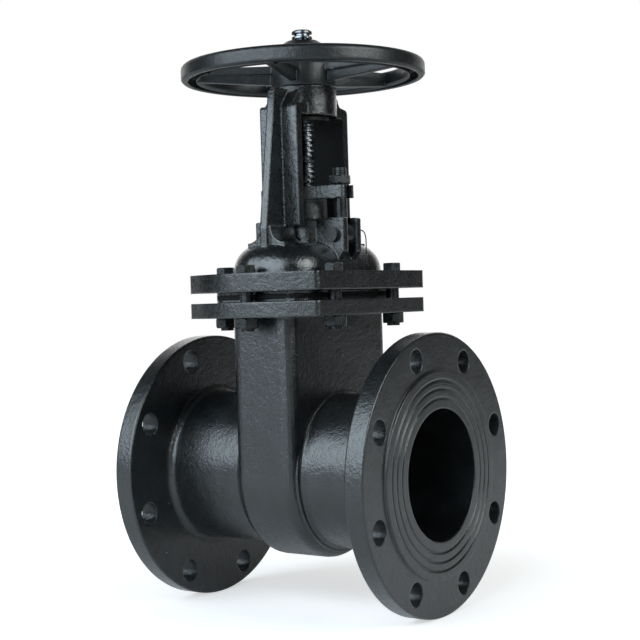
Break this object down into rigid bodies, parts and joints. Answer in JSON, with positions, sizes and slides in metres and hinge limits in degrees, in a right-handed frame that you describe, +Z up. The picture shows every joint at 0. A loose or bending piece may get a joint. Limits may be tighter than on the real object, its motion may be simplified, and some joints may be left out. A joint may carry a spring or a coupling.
{
  "type": "parallel double disc gate valve",
  "caption": "Flanged gate valve with two parallel discs, an outside yoke, a rising stem and a spoked handwheel.",
  "frame": {"origin": "centre of the inlet flange's raised face, on the pipe axis", "axes": "+X along the pipe from inlet to outlet, +Z up along the stem, +Y across the pipe"},
  "size_m": [0.23, 0.21, 0.4458],
  "materials": {
    "painted_casting": "gloss black paint over sand-cast iron",
    "painted_bolting": "black paint over steel fasteners",
    "bare_cast_iron": "machined grey iron",
    "brass_trim": "turned brass",
    "steel_stem": "oiled steel",
    "graphite_packing": "braided graphite",
    "gasket_sheet": "compressed fibre sheet"
  },
  "bodies": {
    "valve": {"valve_body": "painted_casting", "pipe_end_inlet": "painted_casting", "pipe_end_outlet": "painted_casting", "seat_ring_inlet": "brass_trim", "seat_ring_outlet": "brass_trim", "bonnet_gasket": "gasket_sheet", "bonnet_and_yoke": "painted_casting", "bonnet_bolt_1": "painted_bolting", "bonnet_bolt_2": "painted_bolting", "bonnet_bolt_3": "painted_bolting", "bonnet_bolt_4": "painted_bolting", "bonnet_bolt_5": "painted_bolting", "bonnet_bolt_6": "painted_bolting", "bonnet_nut_1": "painted_bolting", "bonnet_nut_2": "painted_bolting", "bonnet_nut_3": "painted_bolting", "bonnet_nut_4": "painted_bolting", "bonnet_nut_5": "painted_bolting", "bonnet_nut_6": "painted_bolting", "gland_packing": "graphite_packing", "gland_follower": "painted_casting", "eyebolt_pin_inlet": "painted_bolting", "eyebolt_pin_outlet": "painted_bolting"},
    "gate": {"stem": "steel_stem", "disc_inlet": "bare_cast_iron", "disc_outlet": "bare_cast_iron", "facing_ring_inlet": "brass_trim", "facing_ring_outlet": "brass_trim", "disc_spreader": "bare_cast_iron"},
    "handwheel": {"yoke_nut": "brass_trim", "handwheel": "painted_casting", "handwheel_lock_nut": "painted_casting"},
    "eyebolt_inlet": {"eyebolt_inlet": "painted_bolting", "eyebolt_nut_inlet": "painted_bolting"},
    "eyebolt_outlet": {"eyebolt_outlet": "painted_bolting", "eyebolt_nut_outlet": "painted_bolting"}
  },
  "joints": [
    {"name": "handwheel_turn", "type": "hinge", "parent": "valve", "child": "handwheel", "pos_m": [0.115, 0, 0.3], "axis": [0, 0, 1], "range_deg": [0, 9360]},
    {"name": "stem_rise", "type": "slide", "parent": "valve", "child": "gate", "axis": [0, 0, 1], "range_m": [0, 0.104]},
    {"name": "eyebolt_inlet_swing", "type": "hinge", "parent": "valve", "child": "eyebolt_inlet", "pos_m": [0.0835, 0, 0.1808], "axis": [0, -1, 0], "range_deg": [0, 78]},
    {"name": "eyebolt_outlet_swing", "type": "hinge", "parent": "valve", "child": "eyebolt_outlet", "pos_m": [0.1465, 0, 0.1808], "axis": [0, 1, 0], "range_deg": [0, 78]}
  ],
  "couplings": [
    {"joint": "stem_rise", "follows": "handwheel_turn", "m_per_rad": 0.00063662}
  ]
}
